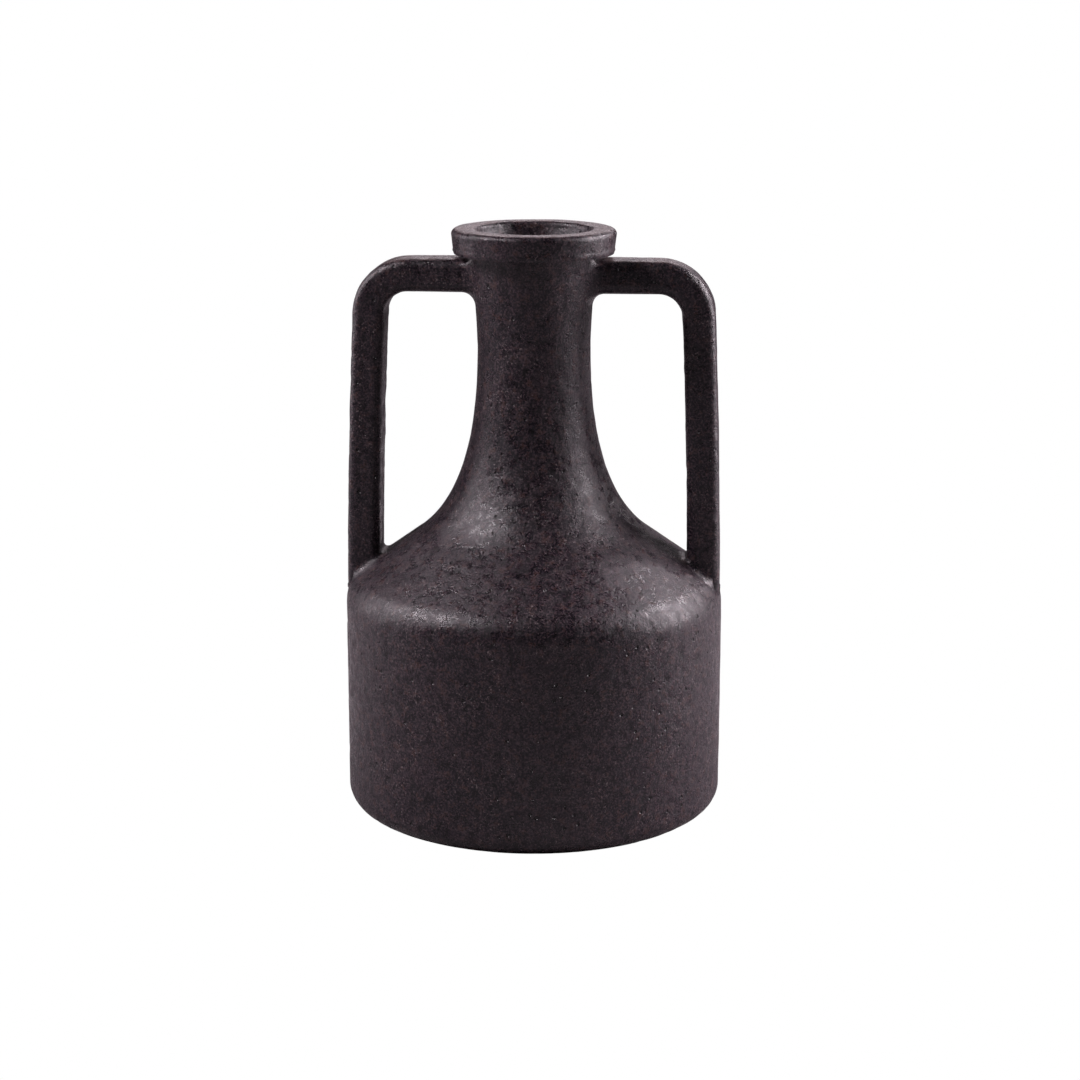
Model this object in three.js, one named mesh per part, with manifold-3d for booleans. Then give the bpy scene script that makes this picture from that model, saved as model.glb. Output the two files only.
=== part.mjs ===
// Two-handled ceramic vase, built in sections as a potter builds it. Millimetres, +Z up.
// The origin is the centre of the foot, on the surface that the vase stands on.
import * as THREE from 'three';
import { mergeVertices } from 'three/addons/utils/BufferGeometryUtils.js';
import Module from 'manifold-3d';

const wasm = await Module();
wasm.setup();

// Overall sizes
const HEIGHT = 500;
const BODY_RADIUS = 162.5;
const WALL = 10;
const FLOOR_THICKNESS = 14;
const BASE_ROUND = 17;

// Outline of the shoulder
const DRUM_HEIGHT = 172;
const SHOULDER_RISE = 8;
const SHOULDER_ROUND = 30;
const SHOULDER_SLOPE = THREE.MathUtils.degToRad(35.5);
const SLOPE_END_RADIUS = 101.5;

// Outline of the neck
const SLOPE_PULL = 52;
const NECK_PULL = 64;
const NECK_RADIUS = 48.5;
const WAIST_HEIGHT = 398.5;
const NECK_TOP_RADIUS = 56.7;

// Lip collar
const COLLAR_DEPTH = 21;
const COLLAR_FOOT_RADIUS = 68;
const COLLAR_RADIUS = 70;
const COLLAR_ROUND = 5;
const MOUTH_RADIUS = 48.8;
const MOUTH_ROUND = 4;
const SLEEVE_DEPTH = 9;

// Handles
const HANDLE_THICKNESS = 28;
const HANDLE_DEPTH = 40;
const HANDLE_CORNER = 8;
const HANDLE_BEND = 34;
const ARM_DROP = 39.5;
const GRIP_INSET = 15.5;
const GRIP_EASE = 7.1;
const GRIP_LEAN = THREE.MathUtils.degToRad(2.6);

// Joints between the sections
const JOINT_GAP = 0.3;
const RIDGE_WIDTH = 4;
const RIDGE_HEIGHT = 3;
const NECK_JOINT_BELOW = 8;
const FLOOR_COIL = 8;
const SEAM_COIL_HALF = 6.5;
const SEAM_COIL_RISE = 5;
const NECK_LUTING = 8;
const SHOULDER_LUTING = 7;
const LUTING_EDGE = 5;

// Smoothness of the curves
const TURN_SEGMENTS = 40;
const ARC_STEPS = 4;
const RIM_STEPS = 2;
const BEND_STEPS = 8;
const HANDLE_STEPS = 30;
const TRUMPET_STEPS = 8;
const COIL_STEPS = 6;
const CORNER_STEPS = 2;
const MERGE_DISTANCE = 1e-4;

const point = (radius, height) => new THREE.Vector2(radius, height);

// Places on the outline that follow from the sizes above
const collarFoot = HEIGHT - COLLAR_DEPTH;
const armHeight = HEIGHT - ARM_DROP;
const gripFootRadius = BODY_RADIUS - GRIP_INSET;
const gripTopRadius = gripFootRadius - GRIP_EASE;
const shoulderStart = DRUM_HEIGHT + SHOULDER_RISE;
const roundCentre = point(BODY_RADIUS - SHOULDER_ROUND, shoulderStart);
const roundEnd = point(
    roundCentre.x + SHOULDER_ROUND * Math.sin(SHOULDER_SLOPE),
    roundCentre.y + SHOULDER_ROUND * Math.cos(SHOULDER_SLOPE),
);
const slopeEnd = point(
    SLOPE_END_RADIUS,
    roundEnd.y + (roundEnd.x - SLOPE_END_RADIUS) * Math.tan(SHOULDER_SLOPE),
);
const trumpet = new THREE.CubicBezierCurve(
    slopeEnd,
    point(
        slopeEnd.x - SLOPE_PULL * Math.cos(SHOULDER_SLOPE),
        slopeEnd.y + SLOPE_PULL * Math.sin(SHOULDER_SLOPE),
    ),
    point(NECK_RADIUS, WAIST_HEIGHT - NECK_PULL),
    point(NECK_RADIUS, WAIST_HEIGHT),
);
const flareRise = collarFoot - WAIST_HEIGHT;
const flareOut = NECK_TOP_RADIUS - NECK_RADIUS;
const flareRadius = (flareRise ** 2 + flareOut ** 2) / (2 * flareOut);
const neckJoint = point(
    slopeEnd.x + NECK_JOINT_BELOW / Math.tan(SHOULDER_SLOPE),
    slopeEnd.y - NECK_JOINT_BELOW,
);

// Points on an arc, from one angle to another, both ends included
function arc(centre, radius, from, to, steps) {
    const points = [];
    for (let i = 0; i <= steps; i++) {
        const angle = from + (to - from) * i / steps;
        points.push(point(centre.x + radius * Math.cos(angle), centre.y + radius * Math.sin(angle)));
    }
    return points;
}

// Outline of the body from where the base round ends up to the foot of the collar
const baseArc = arc(point(BODY_RADIUS - BASE_ROUND, BASE_ROUND), BASE_ROUND, -Math.PI / 2, 0, ARC_STEPS);
const shoulderArc = arc(roundCentre, SHOULDER_ROUND, 0, Math.PI / 2 - SHOULDER_SLOPE, ARC_STEPS);
const trumpetLine = trumpet.getPoints(TRUMPET_STEPS);
const flareLine = arc(
    point(NECK_RADIUS + flareRadius, WAIST_HEIGHT),
    flareRadius,
    Math.PI,
    Math.PI - Math.asin(flareRise / flareRadius),
    ARC_STEPS,
);
const collarTop = arc(
    point(COLLAR_RADIUS - COLLAR_ROUND, HEIGHT - COLLAR_ROUND),
    COLLAR_ROUND,
    0,
    Math.PI / 2,
    RIM_STEPS,
);

// Moves every point of a line to its right by a distance, with mitred corners
function grow(points, distance) {
    const normals = [];
    for (let i = 1; i < points.length; i++) {
        const along = points[i].clone().sub(points[i - 1]).normalize();
        normals.push(point(along.y, -along.x));
    }
    return points.map((p, i) => {
        const before = normals[Math.max(i - 1, 0)];
        const after = normals[Math.min(i, normals.length - 1)];
        const mitre = before.clone().add(after).multiplyScalar(distance / (1 + before.dot(after)));
        return p.clone().add(mitre);
    });
}

// A body of revolution round the vase's axis, from a profile that runs up its outside
function turn(profile) {
    const geometry = new THREE.LatheGeometry(profile, TURN_SEGMENTS);
    geometry.rotateX(Math.PI / 2);
    return toSolid(geometry);
}

function closed(profile) {
    return [...profile, profile[0]];
}

function toSolid(geometry) {
    const shell = geometry.clone();
    shell.deleteAttribute('normal');
    shell.deleteAttribute('uv');
    const merged = mergeVertices(shell, MERGE_DISTANCE);
    const index = merged.index.array;
    const faces = [];
    for (let i = 0; i < index.length; i += 3) {
        const [a, b, c] = index.slice(i, i + 3);
        if (a !== b && b !== c && c !== a) {
            faces.push(a, b, c);
        }
    }
    return new wasm.Manifold(new wasm.Mesh({
        numProp: 3,
        vertProperties: new Float32Array(merged.attributes.position.array),
        triVerts: new Uint32Array(faces),
    }));
}

function toGeometry(solid) {
    const mesh = solid.getMesh();
    const geometry = new THREE.BufferGeometry();
    geometry.setAttribute('position', new THREE.BufferAttribute(mesh.vertProperties, 3));
    geometry.setIndex(new THREE.BufferAttribute(mesh.triVerts, 1));
    geometry.computeVertexNormals();
    return geometry;
}

// Scored ridge on the top edge of a section, from its outer face to its inner face.
// corner is the outer edge, along runs up the wall and out points away from the axis.
function ridge(corner, along, out) {
    const at = (inward, up) => corner.clone().addScaledVector(out, -inward).addScaledVector(along, up);
    const near = (WALL - RIDGE_WIDTH) / 2;
    const far = near + RIDGE_WIDTH;
    return [at(0, 0), at(near, 0), at(near, RIDGE_HEIGHT), at(far, RIDGE_HEIGHT), at(far, 0), at(WALL, 0)];
}

// Groove that seats on the ridge, from the inner face to the outer face
function groove(corner, along, out) {
    const lifted = corner.clone().addScaledVector(along, JOINT_GAP);
    const at = (inward, up) => lifted.clone().addScaledVector(out, -inward).addScaledVector(along, up);
    const near = (WALL - RIDGE_WIDTH) / 2 - JOINT_GAP;
    const far = near + RIDGE_WIDTH + 2 * JOINT_GAP;
    return [at(WALL, 0), at(far, 0), at(far, RIDGE_HEIGHT), at(near, RIDGE_HEIGHT), at(near, 0), at(0, 0)];
}

const up = point(0, 1);
const outward = point(1, 0);
const slopeAlong = point(-Math.cos(SHOULDER_SLOPE), Math.sin(SHOULDER_SLOPE));
const slopeOut = point(Math.sin(SHOULDER_SLOPE), Math.cos(SHOULDER_SLOPE));

function baseRadius(height) {
    return BODY_RADIUS - BASE_ROUND + Math.sqrt(BASE_ROUND ** 2 - (BASE_ROUND - height) ** 2);
}

function floorSlab() {
    const rim = ridge(point(BODY_RADIUS, FLOOR_THICKNESS), up, outward);
    rim[0].x = baseRadius(FLOOR_THICKNESS);
    const lower = baseArc.filter((p) => p.y < FLOOR_THICKNESS);
    return turn([point(0, 0), ...lower, ...rim, point(0, FLOOR_THICKNESS)]);
}

function bodyDrum() {
    const foot = groove(point(BODY_RADIUS, FLOOR_THICKNESS), up, outward);
    foot[5].x = baseRadius(FLOOR_THICKNESS + JOINT_GAP);
    const above = baseArc.filter((p) => p.y > FLOOR_THICKNESS + JOINT_GAP);
    return turn(closed([...foot, ...above, ...ridge(point(BODY_RADIUS, DRUM_HEIGHT), up, outward)]));
}

function shoulder() {
    const outer = [...shoulderArc];
    const inner = grow([...outer, neckJoint], -WALL).slice(0, -1).reverse();
    const foot = groove(point(BODY_RADIUS, DRUM_HEIGHT), up, outward);
    return turn(closed([...foot, ...outer, ...ridge(neckJoint, slopeAlong, slopeOut), ...inner]));
}

function neck() {
    const sleeveTop = collarFoot + SLEEVE_DEPTH;
    const outer = [...trumpetLine, ...flareLine.slice(1)];
    const inner = grow([neckJoint, ...outer], -WALL).slice(1).reverse();
    const boreRadius = NECK_TOP_RADIUS - WALL;
    const top = [point(NECK_TOP_RADIUS, sleeveTop), point(boreRadius, sleeveTop)];
    return turn(closed([...groove(neckJoint, slopeAlong, slopeOut), ...outer, ...top, ...inner]));
}

function lipCollar() {
    const seat = collarFoot + SLEEVE_DEPTH + JOINT_GAP;
    const sleeve = NECK_TOP_RADIUS + JOINT_GAP;
    const mouth = arc(
        point(MOUTH_RADIUS + MOUTH_ROUND, HEIGHT - MOUTH_ROUND),
        MOUTH_ROUND,
        Math.PI / 2,
        Math.PI,
        RIM_STEPS,
    );
    const under = [point(NECK_TOP_RADIUS - WALL, seat), point(sleeve, seat), point(sleeve, collarFoot)];
    return turn(closed([point(COLLAR_FOOT_RADIUS, collarFoot), ...collarTop, ...mouth, ...under]));
}

// Coil pressed into the corner between the floor and the wall
function floorSeamCoil() {
    const corner = point(BODY_RADIUS - WALL - JOINT_GAP, FLOOR_THICKNESS + JOINT_GAP);
    const face = arc(corner, FLOOR_COIL, Math.PI / 2, Math.PI, ARC_STEPS);
    return turn(closed([corner, ...face]));
}

// Coil smoothed over a joint on the inside, as half an ellipse that stands in from the wall
function seamCoil(corner, along, out) {
    const middle = corner.clone().addScaledVector(out, -WALL - JOINT_GAP);
    const points = [];
    for (let i = 0; i <= COIL_STEPS; i++) {
        const angle = Math.PI * i / COIL_STEPS;
        const place = middle.clone().addScaledVector(along, SEAM_COIL_HALF * Math.cos(angle));
        points.push(place.addScaledVector(out, -SEAM_COIL_RISE * Math.sin(angle)));
    }
    return turn(closed(points));
}

// Outside of the whole vase, grown by a distance. Without the collar the neck runs straight up.
function envelope(distance, withCollar) {
    const collar = [point(COLLAR_FOOT_RADIUS, collarFoot), ...collarTop];
    const straight = [point(NECK_TOP_RADIUS, HEIGHT)];
    const side = [
        ...baseArc,
        ...shoulderArc,
        ...trumpetLine,
        ...flareLine.slice(1),
        ...(withCollar ? collar : straight),
    ];
    const grown = grow(side, distance);
    return turn([point(0, -distance), ...grown, point(0, HEIGHT + distance)]);
}

// Centre line of a handle: level arm, round bend, then a grip that eases down to upright
class HandlePath extends THREE.CurvePath {
    constructor(side) {
        super();
        const at = (radius, height) => new THREE.Vector3(side * radius, 0, height);
        const bendCentre = point(gripTopRadius - HANDLE_BEND * Math.cos(GRIP_LEAN), armHeight - HANDLE_BEND);
        const bend = arc(bendCentre, HANDLE_BEND, Math.PI / 2, GRIP_LEAN, BEND_STEPS);
        const bendEnd = bend[bend.length - 1];
        const easeHeight = bendEnd.y - (gripFootRadius - bendEnd.x) / Math.tan(GRIP_LEAN);
        this.add(new THREE.LineCurve3(at(NECK_RADIUS / 2, armHeight), at(bendCentre.x, armHeight)));
        for (let i = 1; i < bend.length; i++) {
            this.add(new THREE.LineCurve3(at(bend[i - 1].x, bend[i - 1].y), at(bend[i].x, bend[i].y)));
        }
        this.add(new THREE.QuadraticBezierCurve3(
            at(bendEnd.x, bendEnd.y),
            at(gripFootRadius, easeHeight),
            at(gripFootRadius, shoulderStart),
        ));
    }
}

// Section of the strap: its depth runs front to back, its thickness towards the neck
function strapSection(distance) {
    const halfDepth = HANDLE_DEPTH / 2 + distance;
    const halfThickness = HANDLE_THICKNESS / 2 + distance;
    const corner = HANDLE_CORNER + distance;
    const points = [];
    const signs = [[1, 1], [-1, 1], [-1, -1], [1, -1]];
    signs.forEach(([thick, across], quarter) => {
        const centre = point(thick * (halfThickness - corner), across * (halfDepth - corner));
        const start = quarter * Math.PI / 2;
        points.push(...arc(centre, corner, start, start + Math.PI / 2, CORNER_STEPS));
    });
    return new THREE.Shape(points);
}

function strap(side, distance) {
    return toSolid(new THREE.ExtrudeGeometry(strapSection(distance), {
        steps: HANDLE_STEPS,
        extrudePath: new HandlePath(side),
    }));
}

function handle(side) {
    return strap(side, 0).subtract(envelope(JOINT_GAP, true));
}

// Everything between two heights and within a radius
function band(from, to, radius) {
    return turn([point(0, from), point(radius, from), point(radius, to), point(0, to)]);
}

// Shares of a coil's width that each of its layers covers on the strap and on the wall
const LUTING_LAYERS = [[1, 0.45], [0.45, 1]];

// Coil pressed round the root of a handle, stepped down from the handle to the wall
function luting(side, width, limits) {
    const layers = LUTING_LAYERS.map(([fromStrap, fromWall]) => (
        strap(side, width * fromStrap).intersect(envelope(width * fromWall, false))
    ));
    const coil = layers.reduce((all, layer) => all.add(layer));
    return coil
        .intersect(limits)
        .subtract(envelope(JOINT_GAP, true))
        .subtract(strap(side, JOINT_GAP));
}

const halfway = (armHeight + DRUM_HEIGHT) / 2;
const upperHalf = band(halfway, collarFoot - JOINT_GAP, BODY_RADIUS);
const lowerHalf = band(DRUM_HEIGHT, halfway, BODY_RADIUS - LUTING_EDGE);

// Colour, roughness and metalness of each part of the finish
const FINISH = {
    body: { color: 0x2f2a2d, roughness: 0.55, metalness: 0 },
    lip: { color: 0x453b3c, roughness: 0.5, metalness: 0 },
    handle: { color: 0x2a2628, roughness: 0.55, metalness: 0 },
    coil: { color: 0x332d2f, roughness: 0.6, metalness: 0 },
    inside: { color: 0x4a3a34, roughness: 0.85, metalness: 0 },
};

function piece(name, solid, finish) {
    const mesh = new THREE.Mesh(toGeometry(solid), new THREE.MeshStandardMaterial(FINISH[finish]));
    mesh.name = name;
    return mesh;
}

const vase = new THREE.Group();
vase.add(
    piece('floor_slab', floorSlab(), 'body'),
    piece('body_drum', bodyDrum(), 'body'),
    piece('shoulder', shoulder(), 'body'),
    piece('neck', neck(), 'body'),
    piece('lip_collar', lipCollar(), 'lip'),
    piece('floor_seam_coil', floorSeamCoil(), 'inside'),
    piece('shoulder_seam_coil', seamCoil(point(BODY_RADIUS, DRUM_HEIGHT), up, outward), 'inside'),
    piece('neck_seam_coil', seamCoil(neckJoint, slopeAlong, slopeOut), 'inside'),
);
for (const [name, side] of [['left', -1], ['right', 1]]) {
    vase.add(
        piece(`handle_${name}`, handle(side), 'handle'),
        piece(`handle_${name}_neck_luting`, luting(side, NECK_LUTING, upperHalf), 'coil'),
        piece(`handle_${name}_shoulder_luting`, luting(side, SHOULDER_LUTING, lowerHalf), 'coil'),
    );
}

export default vase;
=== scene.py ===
"""Two-handled dark ceramic vase: smooth hand-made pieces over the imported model, with an aged coat."""

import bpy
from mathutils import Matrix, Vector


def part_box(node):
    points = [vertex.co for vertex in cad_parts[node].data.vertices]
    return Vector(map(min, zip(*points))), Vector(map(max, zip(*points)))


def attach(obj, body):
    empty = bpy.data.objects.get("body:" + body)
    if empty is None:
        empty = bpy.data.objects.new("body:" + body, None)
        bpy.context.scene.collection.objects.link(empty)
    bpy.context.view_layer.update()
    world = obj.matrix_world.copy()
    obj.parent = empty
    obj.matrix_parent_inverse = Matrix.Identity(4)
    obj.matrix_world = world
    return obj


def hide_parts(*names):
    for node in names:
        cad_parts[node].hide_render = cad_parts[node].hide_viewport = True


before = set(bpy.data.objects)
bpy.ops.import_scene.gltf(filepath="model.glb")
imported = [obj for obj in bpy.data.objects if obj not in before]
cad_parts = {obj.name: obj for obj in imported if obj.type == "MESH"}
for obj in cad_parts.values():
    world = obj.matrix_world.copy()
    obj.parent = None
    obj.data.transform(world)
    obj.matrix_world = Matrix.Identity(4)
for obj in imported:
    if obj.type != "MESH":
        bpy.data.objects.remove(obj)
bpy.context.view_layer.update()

import math

import bmesh
import bpy
from mathutils import Vector, noise

bl_info = {
    "name": "Two-Handled Vase",
    "version": (1, 0, 0),
    "blender": (4, 5, 0),
    "location": "3D View > Sidebar > Vase",
    "description": "Models a dark aged ceramic vase in its potter's pieces, and a plain stage for it",
    "category": "Object",
}

MM = 0.001
WELD = 0.002 * MM

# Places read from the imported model
SLAB_LOW, SLAB_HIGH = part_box("floor_slab")
DRUM_LOW, DRUM_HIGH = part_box("body_drum")
SHOULDER_LOW, SHOULDER_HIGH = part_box("shoulder")
NECK_LOW, NECK_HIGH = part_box("neck")
COLLAR_LOW, COLLAR_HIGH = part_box("lip_collar")
HANDLE_LOW, HANDLE_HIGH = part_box("handle_right")
FLOOR_COIL_LOW, FLOOR_COIL_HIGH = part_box("floor_seam_coil")
SHOULDER_COIL_LOW, SHOULDER_COIL_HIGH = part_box("shoulder_seam_coil")

JOINT_GAP = 0.3 * MM
FINE_STEP = 2.5 * MM
COARSE_STEP = 8.0 * MM
FULL_TURN_STEPS = 400
SMOOTH_ANGLE = math.radians(38)


def length(name, description, default):
    return bpy.props.FloatProperty(name=name, description=description, default=default, unit="LENGTH")


def angle(name, description, default):
    return bpy.props.FloatProperty(name=name, description=description, default=default, unit="ROTATION")


def colour(name, description, default):
    return bpy.props.FloatVectorProperty(
        name=name, description=description, default=default, size=3, min=0, max=1, subtype="COLOR"
    )


class VaseSizes(bpy.types.PropertyGroup):
    """Sizes of the vase's outline and handles."""

    height: length("Height", "From the foot to the top of the lip", COLLAR_HIGH.z)
    body_radius: length("Body radius", "Radius of the drum", DRUM_HIGH.x)
    wall: length("Wall", "Thickness of the clay wall", 10 * MM)
    floor: length("Floor", "Thickness of the floor", DRUM_LOW.z - JOINT_GAP)
    base_round: length("Base round", "Radius of the rounded edge at the foot", 17 * MM)
    drum_height: length("Drum height", "Height of the joint over the drum", SHOULDER_LOW.z - JOINT_GAP)
    shoulder_start: length("Shoulder start", "Height where the wall leaves the upright", 180 * MM)
    shoulder_round: length("Shoulder round", "Radius of the round at the shoulder", 30 * MM)
    shoulder_slope: angle("Shoulder slope", "Slope of the shoulder from level", math.radians(35.5))
    slope_end: length("Slope end", "Radius where the slope turns up into the neck", 101.5 * MM)
    neck_joint_below: length("Neck joint", "How far the neck's joint lies under the slope's end", 8 * MM)
    slope_pull: length("Slope pull", "How long the neck's curve holds the slope", 52 * MM)
    neck_pull: length("Neck pull", "How long the neck's curve holds upright", 64 * MM)
    neck_radius: length("Neck radius", "Radius of the neck's waist", 48.5 * MM)
    waist_height: length("Waist height", "Height of the neck's waist", 398.5 * MM)
    neck_top: length("Neck top", "Radius of the neck under the collar", 56.7 * MM)
    collar_foot: length("Collar foot", "Height of the collar's underside", COLLAR_LOW.z)
    collar_foot_radius: length("Collar foot radius", "Radius of the collar at its underside", 68 * MM)
    collar_radius: length("Collar radius", "Radius of the collar near its top", COLLAR_HIGH.x)
    collar_round: length("Collar round", "Radius of the rolled outer edge", 5 * MM)
    mouth_radius: length("Mouth radius", "Radius of the mouth", 48.8 * MM)
    mouth_round: length("Mouth round", "Radius of the mouth's edge", 4 * MM)
    strap_thickness: length("Strap thickness", "Thickness of a handle", 28 * MM)
    strap_depth: length("Strap depth", "Depth of a handle from front to back", HANDLE_HIGH.y - HANDLE_LOW.y)
    strap_corner: length("Strap corner", "Radius of a handle's long edges", 8 * MM)
    bend: length("Bend", "Radius of a handle's upper bend, at its middle", 34 * MM)
    arm_drop: length("Arm drop", "From the lip's top down to the middle of the arm", 39.5 * MM)
    grip_top: length("Grip top", "Distance of the grip from the axis at its top", 139.9 * MM)
    grip_foot: length("Grip foot", "Distance of the grip from the axis at its foot", 147 * MM)
    grip_lean: angle("Grip lean", "Lean of the grip at its top", math.radians(2.6))
    neck_fillet: length("Neck fillet", "Width of the clay smoothed round a handle at the neck", 13 * MM)
    shoulder_fillet: length("Shoulder fillet", "Width of the clay smoothed round a handle's foot", 10 * MM)


class VaseColours(bpy.types.PropertyGroup):
    """Colours of the vase's aged coat and of the stage."""

    coat: colour("Coat", "Near-black coat of the vase", (0.0100, 0.0078, 0.0135))
    coat_mid: colour("Thin coat", "Coat where it is thinner, in mottles and runs", (0.033, 0.023, 0.031))
    coat_worn: colour("Worn coat", "Grains where the coat is rubbed", (0.098, 0.068, 0.077))
    rust: colour("Rust", "Red-brown crust in the coat", (0.090, 0.046, 0.038))
    # Painted glints: pale specks that stand in for sparkles of light on the coat's grains.
    glint: colour("Glint", "Pale grains in the coat", (0.34, 0.28, 0.28))
    # Painted shade: near-black for the bottoms of pits and the hollows of the bump.
    pit_shade: colour("Pit", "Bottom of the pits", (0.003, 0.002, 0.003))
    # Pale tone for surfaces that face up: partly a dusty film, partly a painted sheen of the light falling on
    # tops.
    dust_and_sheen: colour("Dust", "Pale bloom on surfaces that face up", (0.150, 0.108, 0.104))
    clay: colour("Clay", "Bare clay inside", (0.085, 0.058, 0.047))
    lamps: colour("Lamps", "Light of the lamps", (1.0, 0.90, 0.96))
    stage: colour("Stage", "What the floor and backdrop give back to the vase", (0.35, 0.33, 0.34))


def sizes():
    return bpy.context.scene.vase_sizes


def colours():
    return bpy.context.scene.vase_colours


# Outlines: every point is (radius, height)


def arc(centre, radius, start, end, step):
    """Points on an arc, both ends included, about a step apart."""
    count = max(3, round(radius * abs(end - start) / step))
    points = []
    for i in range(count + 1):
        turn = start + (end - start) * i / count
        points.append(Vector((centre[0] + radius * math.cos(turn), centre[1] + radius * math.sin(turn))))
    return points


def cubic(first, pull_first, pull_last, last, count):
    points = []
    for i in range(count + 1):
        t = i / count
        s = 1 - t
        points.append(s ** 3 * first + 3 * s * s * t * pull_first + 3 * s * t * t * pull_last + t ** 3 * last)
    return points


def evenly(points, step):
    """The same line with its points about a step apart; both ends stay."""
    spaced = [points[0]]
    for start, end in zip(points, points[1:]):
        count = max(1, round((end - start).length / step))
        for i in range(1, count + 1):
            spaced.append(start.lerp(end, i / count))
    return spaced


def grow(points, distance):
    """The line moved to its right by a distance, with mitred corners."""
    normals = []
    for start, end in zip(points, points[1:]):
        along = (end - start).normalized()
        normals.append(Vector((along.y, -along.x)))
    moved = []
    for i, place in enumerate(points):
        before = normals[max(i - 1, 0)]
        after = normals[min(i, len(normals) - 1)]
        moved.append(place + (before + after) * (distance / (1 + before.dot(after))))
    return moved


def base_line(s):
    centre = (s.body_radius - s.base_round, s.base_round)
    return arc(centre, s.base_round, -math.pi / 2, 0, 2 * MM)


def shoulder_line(s):
    """The round of the shoulder and its slope, down to the end of the slope."""
    centre = (s.body_radius - s.shoulder_round, s.shoulder_start)
    rounded = arc(centre, s.shoulder_round, 0, math.pi / 2 - s.shoulder_slope, 2 * MM)
    drop = (rounded[-1].x - s.slope_end) * math.tan(s.shoulder_slope)
    return rounded, Vector((s.slope_end, rounded[-1].y + drop))


def neck_joint(s):
    end = shoulder_line(s)[1]
    return Vector((end.x + s.neck_joint_below / math.tan(s.shoulder_slope), end.y - s.neck_joint_below))


def neck_line(s):
    """The trumpet of the neck, from the slope's end up to the collar's underside."""
    end = shoulder_line(s)[1]
    pull = Vector((-math.cos(s.shoulder_slope), math.sin(s.shoulder_slope))) * s.slope_pull
    waist = Vector((s.neck_radius, s.waist_height))
    trumpet = cubic(end, end + pull, waist - Vector((0, s.neck_pull)), waist, 60)
    rise = s.collar_foot - s.waist_height
    out = s.neck_top - s.neck_radius
    radius = (rise * rise + out * out) / (2 * out)
    flare = arc((s.neck_radius + radius, s.waist_height), radius, math.pi,
                math.pi - math.asin(rise / radius), FINE_STEP)
    return trumpet + flare[1:]


def wall_line(s):
    """The whole outer wall, from the foot's edge up to the collar's underside."""
    rounded, end = shoulder_line(s)
    return base_line(s) + rounded + [end] + neck_line(s)[1:]


def wall_radius(line, height):
    """Radius of the outer wall at a height."""
    for low, high in zip(line, line[1:]):
        if low.y <= height <= high.y and high.y > low.y:
            return low.x + (high.x - low.x) * (height - low.y) / (high.y - low.y)
    return line[-1].x


def wall_height(line, radius):
    """Height of the shoulder or neck's foot at a radius."""
    for low, high in zip(line, line[1:]):
        if high.x <= radius <= low.x and low.x > high.x:
            return low.y + (high.y - low.y) * (low.x - radius) / (low.x - high.x)
    return line[0].y


# Modelling


def start_fresh():
    if bpy.context.object and bpy.context.object.mode != "OBJECT":
        bpy.ops.object.mode_set(mode="OBJECT")
    bpy.ops.object.select_all(action="DESELECT")


def name_piece(name):
    piece = bpy.context.object
    piece.name = name
    piece.data.name = name
    return piece


def close_up():
    """Welds the mesh that is being edited and turns its faces outwards."""
    bpy.ops.mesh.select_all(action="SELECT")
    bpy.ops.mesh.remove_doubles(threshold=WELD)
    bpy.ops.mesh.normals_make_consistent(inside=False)
    bpy.ops.object.mode_set(mode="OBJECT")


def turned(name, line, steps=FULL_TURN_STEPS):
    """Draws a line of (radius, height) points by extruding, and spins it round the axis."""
    start_fresh()
    bpy.ops.mesh.primitive_plane_add(size=MM, location=(0, 0, 0))
    piece = name_piece(name)
    bpy.ops.object.mode_set(mode="EDIT")
    bpy.ops.mesh.select_all(action="SELECT")
    bpy.ops.mesh.merge(type="CENTER")
    bpy.ops.transform.translate(value=(line[0].x, 0, line[0].y))
    for start, end in zip(line, line[1:]):
        step = end - start
        bpy.ops.mesh.extrude_vertices_move(TRANSFORM_OT_translate={"value": (step.x, 0, step.y)})
    bpy.ops.mesh.select_all(action="SELECT")
    bpy.ops.mesh.spin(steps=steps, angle=2 * math.pi, center=(0, 0, 0), axis=(0, 0, 1))
    close_up()
    return piece


def hand_made(place):
    """How far the potter's hands left the wall short of a true round, at a place."""
    sway = 0.5 + 0.5 * noise.noise(place * 6.0)
    rings = 0.5 + 0.5 * noise.noise(Vector((place.x * 3, place.y * 3, place.z * 70)))
    return (0.55 * sway + 0.16 * rings) * MM + lumps(place)


def lumps(place):
    """Depth of the small hollows that fingers leave, about 10 to 20 mm across."""
    soft = 0.5 + 0.5 * noise.noise(place * 45.0)
    dents = max(0.0, noise.noise(place * 95.0) - 0.12)
    return (0.40 * soft + 0.80 * dents) * MM


def shape_by_hand(piece):
    """Draws every point in towards the axis by what the hands left."""
    for vertex in piece.data.vertices:
        radius = math.hypot(vertex.co.x, vertex.co.y)
        if radius > 5 * MM:
            keep = 1 - hand_made(vertex.co) / radius
            vertex.co.x *= keep
            vertex.co.y *= keep
    piece.data.update()


def squeeze_strap(piece, root_radius, root_height):
    """Lets a strap's faces waver inwards, more and more with the distance from its roots."""
    fade = 25 * MM
    normals = [vertex.normal.copy() for vertex in piece.data.vertices]
    for vertex, normal in zip(piece.data.vertices, normals):
        radius = math.hypot(vertex.co.x, vertex.co.y)
        free = min((radius - root_radius) / fade, (vertex.co.z - root_height) / fade, 1)
        if free > 0:
            vertex.co -= normal * free * lumps(vertex.co + Vector((0, 0, 1)))
    piece.data.update()


def finish_piece(piece, material, slot, *nodes):
    start_fresh()
    piece.select_set(True)
    bpy.context.view_layer.objects.active = piece
    bpy.ops.object.shade_smooth_by_angle(angle=SMOOTH_ANGLE)
    piece.data.materials.clear()
    piece.data.materials.append(material)
    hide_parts(*nodes)
    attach(piece, "root")


# Materials


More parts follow.
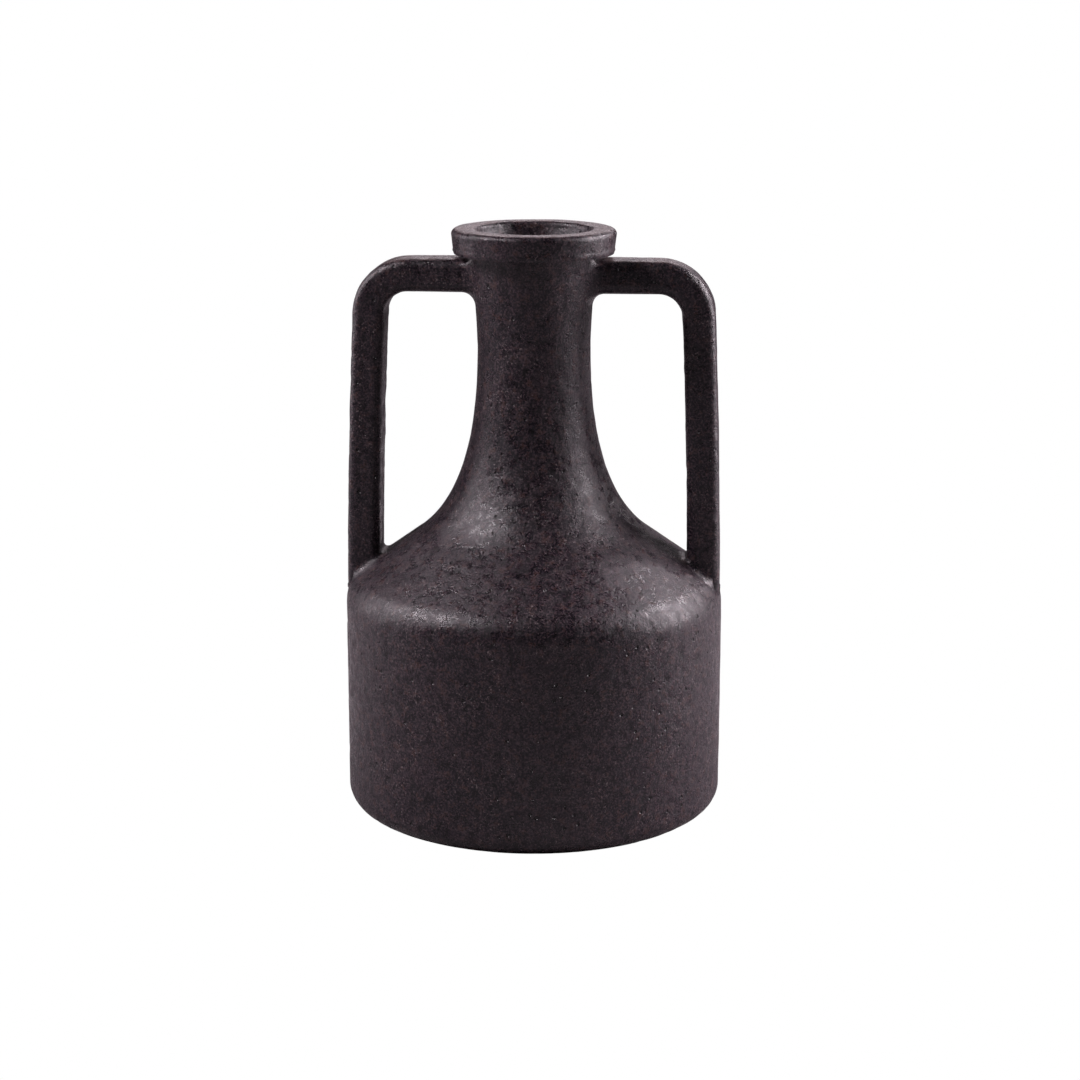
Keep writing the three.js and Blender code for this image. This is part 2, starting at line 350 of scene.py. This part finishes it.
class Nodes:
    """A material's node tree, with short calls for the nodes that the finishes use."""

    def __init__(self, name):
        self.material = bpy.data.materials.new(name)
        self.material.use_nodes = True
        self.tree = self.material.node_tree
        self.shader = self.tree.nodes["Principled BSDF"]
        self.place = self.add("ShaderNodeTexCoord").outputs["Object"]

    def add(self, kind, **values):
        made = self.tree.nodes.new(kind)
        for key, value in values.items():
            setattr(made, key, value)
        return made

    def link(self, source, target):
        self.tree.links.new(source, target)

    def stretched(self, scale):
        mapping = self.add("ShaderNodeMapping")
        mapping.inputs["Scale"].default_value = scale
        self.link(self.place, mapping.inputs["Vector"])
        return mapping.outputs["Vector"]

    def noise(self, scale, detail=3.0, roughness=0.55, place=None):
        made = self.add("ShaderNodeTexNoise")
        made.inputs["Scale"].default_value = scale
        made.inputs["Detail"].default_value = detail
        made.inputs["Roughness"].default_value = roughness
        self.link(place or self.place, made.inputs["Vector"])
        return made.outputs["Fac"]

    def cells(self, scale):
        made = self.add("ShaderNodeTexVoronoi")
        made.inputs["Scale"].default_value = scale
        self.link(self.place, made.inputs["Vector"])
        return made.outputs["Distance"]

    def ramp(self, source, low, high, start=0.0, end=1.0):
        """Start below low, end above high, smooth between."""
        made = self.add("ShaderNodeMapRange", interpolation_type="SMOOTHSTEP")
        made.inputs["From Min"].default_value = low
        made.inputs["From Max"].default_value = high
        made.inputs["To Min"].default_value = start
        made.inputs["To Max"].default_value = end
        self.link(source, made.inputs["Value"])
        return made.outputs["Result"]

    def times(self, first, second):
        made = self.add("ShaderNodeMath", operation="MULTIPLY")
        for socket, value in zip(made.inputs, (first, second)):
            if isinstance(value, (int, float)):
                socket.default_value = value
            else:
                self.link(value, socket)
        return made.outputs[0]

    def mix(self, amount, below, above):
        made = self.add("ShaderNodeMix", data_type="RGBA")
        self.link(amount, made.inputs["Factor"])
        for socket, value in ((made.inputs[6], below), (made.inputs[7], above)):
            if isinstance(value, bpy.types.NodeSocket):
                self.link(value, socket)
            else:
                socket.default_value = (*value, 1)
        return made.outputs[2]

    def bump(self, height, strength, distance, over=None):
        made = self.add("ShaderNodeBump")
        made.inputs["Strength"].default_value = strength
        made.inputs["Distance"].default_value = distance
        self.link(height, made.inputs["Height"])
        if over:
            self.link(over, made.inputs["Normal"])
        return made.outputs["Normal"]


def aged_coat(name, wear, streaks):
    """Near-black coat with worn mottles, rust specks and painted glints; painted shade darkens the pits and the
    bump's hollows, and surfaces that face up get paler, partly a dusty film and partly a painted sheen.
    """
    c = colours()
    n = Nodes(name)
    mottles = n.ramp(n.noise(38, 7, 0.68), 0.44, 0.64)
    patches = n.ramp(n.noise(9, 4, 0.6), 0.44, 0.68)
    crust = n.noise(150, 6, 0.70)
    grain = n.noise(620, 2, 0.60)
    tone = n.mix(n.times(mottles, wear), c.coat, c.coat_mid)
    tone = n.mix(n.times(patches, 0.5 * wear), tone, c.coat_mid)
    runs = n.ramp(n.noise(150, 5, 0.6, n.stretched((1, 1, 0.05))), 0.50, 0.66)
    tone = n.mix(n.times(runs, streaks), tone, c.coat_mid)
    tone = n.mix(n.times(n.ramp(crust, 0.53, 0.64), 0.6), tone, c.rust)
    tone = n.mix(n.times(n.ramp(grain, 0.50, 0.62), 0.7), tone, c.coat_worn)
    # Painted glints: sparse pale specks in clusters, standing in for sparkles of light.
    clusters = n.ramp(n.noise(26, 4, 0.6), 0.46, 0.62)
    tone = n.mix(n.times(n.ramp(n.noise(520, 2, 0.6), 0.60, 0.68), n.times(clusters, 0.6)), tone, c.glint)
    pits = n.ramp(n.cells(110), 0.08, 0.24, 1.0, 0.0)
    pits = n.times(pits, n.ramp(n.noise(22, 4, 0.6), 0.50, 0.58))
    # Painted shade: the hollows of the crust and grain bumps and the pits are darkened to near-black.
    tone = n.mix(n.times(n.ramp(crust, 0.36, 0.47, 1.0, 0.0), 0.85), tone, c.pit_shade)
    tone = n.mix(n.times(n.ramp(grain, 0.36, 0.46, 1.0, 0.0), 0.85), tone, c.pit_shade)
    tone = n.mix(pits, tone, c.pit_shade)
    # Surfaces that face up are painted paler: partly a dusty film, partly a painted sheen of the overhead light.
    facing = n.add("ShaderNodeSeparateXYZ")
    n.link(n.add("ShaderNodeNewGeometry").outputs["Normal"], facing.inputs[0])
    sheen_and_bloom = n.times(n.ramp(facing.outputs["Z"], 0.80, 1.0), n.ramp(n.noise(90, 6, 0.7), 0.34, 0.60))
    tone = n.mix(n.times(sheen_and_bloom, 0.7), tone, c.dust_and_sheen)
    n.link(tone, n.shader.inputs["Base Color"])
    n.link(n.ramp(n.noise(110, 7, 0.75), 0.40, 0.60, 0.20, 0.50), n.shader.inputs["Roughness"])
    normal = n.bump(n.noise(55, 4, 0.6), 0.4, 1.0 * MM)
    normal = n.bump(crust, 0.6, 1.3 * MM, normal)
    normal = n.bump(grain, 0.6, 0.4 * MM, normal)
    normal = n.bump(runs, 0.15, 0.4 * MM, normal)
    n.link(n.bump(n.ramp(pits, 0, 1, 1, 0), 1.0, 1.2 * MM, normal), n.shader.inputs["Normal"])
    return n.material


def bare_clay(name):
    c = colours()
    n = Nodes(name)
    tone = n.mix(n.ramp(n.noise(60, 5, 0.6), 0.35, 0.70), c.clay, c.coat)
    tone = n.mix(n.times(n.ramp(n.noise(400, 3), 0.55, 0.70), 0.5), tone, c.rust)
    n.link(tone, n.shader.inputs["Base Color"])
    n.shader.inputs["Roughness"].default_value = 0.85
    fine = n.bump(n.noise(500, 3, 0.6), 0.5, 0.5 * MM)
    n.link(n.bump(n.noise(40, 4), 0.4, 1.2 * MM, fine), n.shader.inputs["Normal"])
    return n.material


def material(name, make, *values):
    """The finish with this name, made when it is first asked for."""
    return bpy.data.materials.get(name) or make(name, *values)


def body_finish():
    return material("body_coat", aged_coat, 0.75, 0.5)


def lip_finish():
    return material("lip_coat", aged_coat, 0.9, 0.1)


def handle_finish():
    return material("handle_coat", aged_coat, 0.5, 0.25)


def clay_finish():
    return material("inside_clay", bare_clay)


# Pieces


class VASE_OT_floor_slab(bpy.types.Operator):
    """Floor slab with its rounded edge and a slightly hollow underside"""

    bl_idname = "vase.floor_slab"
    bl_label = "Floor slab"

    def execute(self, context):
        s = sizes()
        edge = [p for p in base_line(s) if p.y < s.floor] + [Vector((wall_radius(base_line(s), s.floor), s.floor))]
        hollow = [Vector((0, 0.8 * MM)), Vector((edge[0].x - 22 * MM, 0.8 * MM)), Vector((edge[0].x - 18 * MM, 0))]
        line = evenly(hollow + [edge[0]], COARSE_STEP) + edge[1:]
        line += evenly([edge[-1], Vector((0, s.floor))], COARSE_STEP)[1:]
        piece = turned("floor_slab_clay", line)
        shape_by_hand(piece)
        finish_piece(piece, body_finish(), "body_finish", "floor_slab")
        return {"FINISHED"}


class VASE_OT_body_drum(bpy.types.Operator):
    """Upright wall of the body, from the floor's rim to the shoulder"""

    bl_idname = "vase.body_drum"
    bl_label = "Body drum"

    def execute(self, context):
        s = sizes()
        base = base_line(s)
        foot = Vector((wall_radius(base, s.floor), s.floor))
        top = Vector((s.body_radius, s.drum_height))
        inside = s.body_radius - s.wall
        rising = [foot] + [p for p in base if p.y > s.floor] + [top]
        inner = evenly([Vector((inside, s.drum_height)), Vector((inside, s.floor))], COARSE_STEP)
        piece = turned("body_drum_clay", evenly(rising, FINE_STEP) + inner + [foot])
        shape_by_hand(piece)
        finish_piece(piece, body_finish(), "body_finish", "body_drum")
        return {"FINISHED"}


class VASE_OT_shoulder(bpy.types.Operator):
    """Rounded and sloping shoulder over the drum"""

    bl_idname = "vase.shoulder"
    bl_label = "Shoulder"

    def execute(self, context):
        s = sizes()
        rounded = shoulder_line(s)[0]
        foot = Vector((s.body_radius, s.drum_height))
        outer = [foot] + rounded + [neck_joint(s)]
        inner = list(reversed(grow(outer, -s.wall)))
        line = evenly(outer, FINE_STEP) + evenly(inner, COARSE_STEP) + [foot]
        piece = turned("shoulder_clay", line)
        shape_by_hand(piece)
        finish_piece(piece, body_finish(), "body_finish", "shoulder")
        return {"FINISHED"}


class VASE_OT_neck(bpy.types.Operator):
    """Trumpet neck, which ends in the collar"""

    bl_idname = "vase.neck"
    bl_label = "Neck"

    def execute(self, context):
        s = sizes()
        sleeve_top = NECK_HIGH.z
        outer = [neck_joint(s)] + neck_line(s) + [Vector((s.neck_top, sleeve_top))]
        inner = list(reversed(grow(outer, -s.wall)))
        line = evenly(outer, FINE_STEP) + evenly(inner, 5 * MM) + [outer[0]]
        piece = turned("neck_clay", line, 240)
        shape_by_hand(piece)
        finish_piece(piece, body_finish(), "body_finish", "neck")
        return {"FINISHED"}


class VASE_OT_lip_collar(bpy.types.Operator):
    """Thick lip with a rolled edge, a faint bead and a crease where it meets the neck"""

    bl_idname = "vase.lip_collar"
    bl_label = "Lip collar"

    def execute(self, context):
        s = sizes()
        foot = Vector((s.collar_foot_radius, s.collar_foot))
        bead = [foot + Vector((0.2, 1.0)) * MM, foot + Vector((1.0, 2.6)) * MM, foot + Vector((0.7, 4.6)) * MM]
        edge = arc((s.collar_radius - s.collar_round, s.height - s.collar_round), s.collar_round, 0,
                   math.pi / 2, 0.9 * MM)
        mouth = arc((s.mouth_radius + s.mouth_round, s.height - s.mouth_round), s.mouth_round,
                    math.pi / 2, math.pi, 0.9 * MM)
        seat = NECK_HIGH.z + JOINT_GAP
        throat = Vector((s.neck_top - s.wall, seat))
        sleeve = [Vector((s.neck_top, seat)), Vector((s.neck_top, s.collar_foot))]
        line = evenly([foot] + bead + edge, 1.5 * MM) + evenly([edge[-1], mouth[0]], 2 * MM)[1:]
        line += mouth[1:] + evenly([mouth[-1], throat] + sleeve + [foot], 2 * MM)[1:]
        piece = turned("lip_collar_clay", line, 240)
        shape_by_hand(piece)
        for vertex in piece.data.vertices:
            if vertex.co.z > s.height - s.mouth_round:
                dip = 0.5 + 0.5 * noise.noise(vertex.co * 28.0)
                vertex.co.z -= 0.7 * MM * dip * (vertex.co.z - s.height + s.mouth_round) / s.mouth_round
        finish_piece(piece, lip_finish(), "lip_finish", "lip_collar")
        return {"FINISHED"}


def strap_path(s):
    """Middle line of the right handle as (place, heading), place in the XZ plane."""
    arm_height = s.height - s.arm_drop
    centre = Vector((s.grip_top - s.bend * math.cos(s.grip_lean), arm_height - s.bend))
    start = Vector((s.neck_radius, arm_height))
    path = [(p, 0.0) for p in evenly([start, Vector((centre.x, arm_height))], FINE_STEP)]
    bend = arc(centre, s.bend, math.pi / 2, s.grip_lean, FINE_STEP)
    turn = math.pi / 2 - s.grip_lean
    path += [(p, -turn * i / (len(bend) - 1)) for i, p in enumerate(bend)][1:]
    top = bend[-1]
    ease = Vector((s.grip_foot, top.y - (s.grip_foot - top.x) / math.tan(s.grip_lean)))
    foot = Vector((s.grip_foot, s.shoulder_start))
    count = round((top - foot).length / FINE_STEP)
    for i in range(1, count + 1):
        t = i / count
        place = (1 - t) ** 2 * top + 2 * t * (1 - t) * ease + t * t * foot
        path.append((place, -math.pi / 2 + s.grip_lean * (1 - t)))
    return path


def strap_section(s, step):
    """Outline of the strap: x across its thickness, y from front to back."""
    half_x = s.strap_thickness / 2 - s.strap_corner
    half_y = s.strap_depth / 2 - s.strap_corner
    outline = []
    for quarter, (x, y) in enumerate(((1, 1), (-1, 1), (-1, -1), (1, -1))):
        start = quarter * math.pi / 2
        outline += arc((x * half_x, y * half_y), s.strap_corner, start, start + math.pi / 2, step)
    return evenly(outline + [outline[0]], step)[:-1]


def strap(name, side):
    """A handle's strap, extruded section by section along its path."""
    s = sizes()
    line = wall_line(s)
    path = strap_path(s)
    section = strap_section(s, 2 * MM)
    start_fresh()
    bpy.ops.mesh.primitive_circle_add(vertices=len(section), radius=s.strap_corner, fill_type="NGON")
    piece = name_piece(name)
    place = path[0][0]
    for vertex, corner in zip(piece.data.vertices, section):
        vertex.co = (side * place.x, corner.y, place.y + corner.x)
    bpy.ops.object.mode_set(mode="EDIT")
    bpy.ops.mesh.select_all(action="SELECT")
    for (before, old_heading), (after, heading) in zip(path, path[1:]):
        bpy.ops.mesh.extrude_region_move()
        mesh = bmesh.from_edit_mesh(piece.data)
        old_out = Vector((-math.sin(old_heading), math.cos(old_heading)))
        out = Vector((-math.sin(heading), math.cos(heading)))
        for vertex in mesh.verts:
            if vertex.select:
                flat = Vector((side * vertex.co.x, vertex.co.z))
                moved = after + out * (flat - before).dot(old_out)
                vertex.co = (side * moved.x, vertex.co.y, moved.y)
        bmesh.update_edit_mesh(piece.data)
    bpy.ops.object.mode_set(mode="OBJECT")
    seat = s.wall / 2
    for vertex in piece.data.vertices:
        radius = math.hypot(vertex.co.x, vertex.co.y)
        if vertex.co.z < s.waist_height:
            vertex.co.z = max(vertex.co.z, wall_height(line, min(radius, s.body_radius - 2 * MM)) - seat)
    bpy.ops.object.mode_set(mode="EDIT")
    close_up()
    return piece


class VASE_OT_handles(bpy.types.Operator):
    """Both strap handles, from the neck over their bend down to the shoulder"""

    bl_idname = "vase.handles"
    bl_label = "Handles"

    def execute(self, context):
        for name, side in (("left", -1), ("right", 1)):
            piece = strap(f"handle_{name}_clay", side)
            s = sizes()
            squeeze_strap(piece, s.neck_radius + 2 * s.neck_fillet, neck_joint(s).y)
            shape_by_hand(piece)
            finish_piece(piece, handle_finish(), "handle_finish", f"handle_{name}")
        return {"FINISHED"}


def looped(name, rings):
    """A closed ring of loops, each loop joined to the next and the last to the first."""
    count = len(rings[0])
    points = [point for ring in rings for point in ring]
    faces = []
    for i in range(len(rings)):
        here, there = i * count, (i + 1) % len(rings) * count
        for j in range(count):
            k = (j + 1) % count
            faces.append((here + j, there + j, there + k, here + k))
    mesh = bpy.data.meshes.new(name)
    mesh.from_pydata(points, [], faces)
    piece = bpy.data.objects.new(name, mesh)
    bpy.context.scene.collection.objects.link(piece)
    start_fresh()
    piece.select_set(True)
    bpy.context.view_layer.objects.active = piece
    bpy.ops.object.mode_set(mode="EDIT")
    close_up()
    return piece


def fillet(on_strap, corner, on_wall, into_strap, into_wall):
    """One loop of a smoothed coil: a hollow curve from strap to wall, closed inside the clay."""
    curve = []
    for i in range(11):
        t = i / 10
        curve.append((1 - t) ** 2 * on_strap + 2 * t * (1 - t) * corner + t * t * on_wall)
    bury = 2.5 * MM
    inside = [on_wall + into_wall * bury, corner + (into_wall + into_strap) * bury, on_strap + into_strap * bury]
    return curve + inside


def sideways(section, i):
    """Outward direction of the strap's outline at one of its points."""
    along = section[(i + 1) % len(section)] - section[i - 1]
    return Vector((along.y, -along.x)).normalized()


def shoulder_fillet(name, side):
    """Clay smoothed round a handle's foot, down on to the shoulder."""
    s = sizes()
    line = wall_line(s)
    section = strap_section(s, 1.5 * MM)
    limit = s.body_radius - 3.5 * MM
    sink = 0.25 * MM
    rings = []
    for i, spot in enumerate(section):
        out = sideways(section, i)
        flat = Vector((s.grip_foot + spot.x, spot.y))
        radius = min(flat.length, s.body_radius - 1.5 * MM)
        facing_out = max(out.dot(flat.normalized()), 0.05)
        width = max(0.5 * MM, min(s.shoulder_fillet, (limit - radius) / facing_out))
        away = flat + out * width
        corner_height = wall_height(line, radius)
        wall_spot = Vector((side * away.x, away.y, wall_height(line, min(away.length, limit + MM)) - sink))
        strap_flat = flat - out * sink
        strap_spot = Vector((side * strap_flat.x, strap_flat.y, corner_height + width))
        corner = Vector((side * flat.x, flat.y, corner_height))
        rings.append(fillet(strap_spot, corner, wall_spot, Vector((-side * out.x, -out.y, 0)), Vector((0, 0, -1))))
    return looped(name, rings)


def neck_fillet(name, side):
    """Clay smoothed round the end of a handle's arm, on to the neck under the collar."""
    s = sizes()
    line = wall_line(s)
    section = strap_section(s, 1.5 * MM)
    arm_height = s.height - s.arm_drop
    ceiling = s.collar_foot - 0.4 * MM
    sink = 0.25 * MM
    rings = []
    for i, spot in enumerate(section):
        out = sideways(section, i)
        height = arm_height + spot.x
        rise = max(out.x, 0.05)
        width = max(0.5 * MM, min(s.neck_fillet, (ceiling - height) / rise))
        reach = math.sqrt(wall_radius(line, height) ** 2 - spot.y ** 2)
        away = Vector((height + out.x * width, spot.y + out.y * width))
        wall_reach = math.sqrt(wall_radius(line, min(away.x, ceiling)) ** 2 - away.y ** 2) - sink
        wall_spot = Vector((side * wall_reach, away.y, away.x))
        strap_spot = Vector((side * (reach + width), spot.y - out.y * sink, height - out.x * sink))
        corner = Vector((side * reach, spot.y, height))
        rings.append(fillet(strap_spot, corner, wall_spot, Vector((0, -out.y, -out.x)), Vector((-side, 0, 0))))
    return looped(name, rings)


class VASE_OT_lutings(bpy.types.Operator):
    """Coils smoothed round the four handle roots"""

    bl_idname = "vase.lutings"
    bl_label = "Handle roots"

    def execute(self, context):
        for name, side in (("left", -1), ("right", 1)):
            for place, make in (("neck", neck_fillet), ("shoulder", shoulder_fillet)):
                node = f"handle_{name}_{place}_luting"
                piece = make(f"{node}_clay", side)
                shape_by_hand(piece)
                finish_piece(piece, body_finish(), "handle_finish", node)
        return {"FINISHED"}


class VASE_OT_seam_coils(bpy.types.Operator):
    """Coils smoothed over the joints on the inside"""

    bl_idname = "vase.seam_coils"
    bl_label = "Inside coils"

    def execute(self, context):
        s = sizes()
        inside = s.body_radius - s.wall
        width = FLOOR_COIL_HIGH.z - FLOOR_COIL_LOW.z
        corner = Vector((inside, s.floor))
        hollow = arc((inside - width, s.floor + width), width, 0, -math.pi / 2, 1.5 * MM)
        floor_coil = turned("floor_seam_coil_clay", [corner] + hollow + [corner], 180)
        half = (SHOULDER_COIL_HIGH.z - SHOULDER_COIL_LOW.z) / 2
        joint = neck_joint(s)
        out = Vector((math.sin(s.shoulder_slope), math.cos(s.shoulder_slope)))
        along = Vector((-out.y, out.x))
        rounds = (
            ("shoulder_seam_coil", Vector((inside, s.drum_height)), Vector((0, 1)), Vector((1, 0))),
            ("neck_seam_coil", joint - out * s.wall, along, out),
        )
        coils = [("floor_seam_coil", floor_coil)]
        for node, middle, up, outward in rounds:
            bulge = []
            for i in range(13):
                turn = math.pi * i / 12
                bulge.append(middle + up * half * math.cos(turn) - outward * 5 * MM * math.sin(turn))
            coils.append((node, turned(f"{node}_clay", bulge + [bulge[0]], 180)))
        for node, piece in coils:
            shape_by_hand(piece)
            finish_piece(piece, clay_finish(), "bare_clay", node)
        return {"FINISHED"}


# Stage

CAMERA_DISTANCE = 2.0704
CAMERA_HEIGHT = 0.7354
CAMERA_PITCH = math.radians(13.697)
CAMERA_AZIMUTH = math.radians(5)
CAMERA_FOCAL = 2471.1
PHOTO_SIDE = 1080
AXIS_LEFT_OF_CENTRE = 6
SENSOR = 36


def lamp(name, place, target, side, watts):
    light = bpy.data.lights.new(name, "AREA")
    light.shape = "RECTANGLE"
    light.size, light.size_y = side
    light.energy = watts
    light.color = colours().lamps
    made = bpy.data.objects.new(name, light)
    made.location = place
    made.rotation_euler = (Vector(target) - Vector(place)).to_track_quat("-Z", "Y").to_euler()
    bpy.context.scene.collection.objects.link(made)


def stage_material(name):
    """A pale surface that the camera sees as plain white."""
    made = bpy.data.materials.new(name)
    made.use_nodes = True
    nodes, links = made.node_tree.nodes, made.node_tree.links
    shader = nodes["Principled BSDF"]
    shader.inputs["Base Color"].default_value = (*colours().stage, 1)
    shader.inputs["Roughness"].default_value = 1.0
    shader.inputs["Specular IOR Level"].default_value = 0.0
    light = nodes.new("ShaderNodeEmission")
    mix = nodes.new("ShaderNodeMixShader")
    path = nodes.new("ShaderNodeLightPath")
    links.new(path.outputs["Is Camera Ray"], mix.inputs["Fac"])
    links.new(shader.outputs[0], mix.inputs[1])
    links.new(light.outputs[0], mix.inputs[2])
    links.new(mix.outputs[0], nodes["Material Output"].inputs["Surface"])
    return made


def stage_sheet(name, size, place, turn):
    start_fresh()
    bpy.ops.mesh.primitive_plane_add(size=size, location=place, rotation=turn)
    sheet = name_piece(name)
    sheet.data.materials.append(stage_material(name))


class VASE_OT_stage(bpy.types.Operator):
    """Floor, backdrop, soft light and the camera"""

    bl_idname = "vase.stage"
    bl_label = "Stage"

    def execute(self, context):
        scene = context.scene
        scene.view_settings.view_transform = "Standard"
        stage_sheet("floor", 14, (0, 0, 0), (0, 0, 0))
        stage_sheet("backdrop", 9, (0, 3.6, 3), (math.pi / 2, 0, 0))
        aim = (0, 0, 0.25)
        lamp("right_side_light", (1.8, 0.35, 0.9), aim, (0.9, 1.5), 44)
        lamp("right_back_light", (1.3, 0.85, 1.25), aim, (0.25, 0.25), 14)
        lamp("left_side_light", (-1.8, 0.35, 0.9), aim, (0.7, 1.5), 16)
        lamp("left_key_light", (-1.2, -0.45, 1.5), aim, (0.25, 0.3), 20)
        lamp("back_light", (0.1, 2.4, 1.4), (0, 0, 0.5), (1.6, 0.7), 8)
        world = bpy.data.worlds.new("studio")
        world.use_nodes = True
        nodes, links = world.node_tree.nodes, world.node_tree.links
        back = nodes["Background"]
        path = nodes.new("ShaderNodeLightPath")
        level = nodes.new("ShaderNodeMapRange")
        level.inputs["To Min"].default_value = 0.05
        level.inputs["To Max"].default_value = 1.0
        links.new(path.outputs["Is Camera Ray"], level.inputs["Value"])
        links.new(level.outputs["Result"], back.inputs["Strength"])
        back.inputs["Color"].default_value = (1, 1, 1, 1)
        scene.world = world
        camera = bpy.data.cameras.new("photo_camera")
        camera.sensor_width = SENSOR
        camera.lens = CAMERA_FOCAL * SENSOR / PHOTO_SIDE
        camera.shift_x = AXIS_LEFT_OF_CENTRE / PHOTO_SIDE
        holder = bpy.data.objects.new("photo_camera", camera)
        holder.location = (
            CAMERA_DISTANCE * math.sin(CAMERA_AZIMUTH),
            -CAMERA_DISTANCE * math.cos(CAMERA_AZIMUTH),
            CAMERA_HEIGHT,
        )
        holder.rotation_euler = (math.pi / 2 - CAMERA_PITCH, 0, CAMERA_AZIMUTH)
        scene.collection.objects.link(holder)
        scene.camera = holder
        return {"FINISHED"}


OPERATORS = (
    VASE_OT_floor_slab,
    VASE_OT_body_drum,
    VASE_OT_shoulder,
    VASE_OT_neck,
    VASE_OT_lip_collar,
    VASE_OT_handles,
    VASE_OT_lutings,
    VASE_OT_seam_coils,
    VASE_OT_stage,
)


class VASE_PT_panel(bpy.types.Panel):
    """Lists the vase's pieces and its sizes"""

    bl_idname = "VASE_PT_panel"
    bl_label = "Vase"
    bl_space_type = "VIEW_3D"
    bl_region_type = "UI"
    bl_category = "Vase"

    def draw(self, context):
        for operator in OPERATORS:
            self.layout.operator(operator.bl_idname)
        for group in (context.scene.vase_sizes, context.scene.vase_colours):
            box = self.layout.box()
            for name in group.bl_rna.properties.keys():
                if name not in {"rna_type", "name"}:
                    box.prop(group, name)


CLASSES = (VaseSizes, VaseColours, *OPERATORS, VASE_PT_panel)


def register():
    for item in CLASSES:
        bpy.utils.register_class(item)
    bpy.types.Scene.vase_sizes = bpy.props.PointerProperty(type=VaseSizes)
    bpy.types.Scene.vase_colours = bpy.props.PointerProperty(type=VaseColours)


def unregister():
    del bpy.types.Scene.vase_colours
    del bpy.types.Scene.vase_sizes
    for item in reversed(CLASSES):
        bpy.utils.unregister_class(item)


def main():
    register()
    bpy.ops.vase.stage()
    bpy.ops.vase.floor_slab()
    bpy.ops.vase.body_drum()
    bpy.ops.vase.shoulder()
    bpy.ops.vase.neck()
    bpy.ops.vase.lip_collar()
    bpy.ops.vase.handles()
    bpy.ops.vase.lutings()
    bpy.ops.vase.seam_coils()


if __name__ == "__main__":
    main()
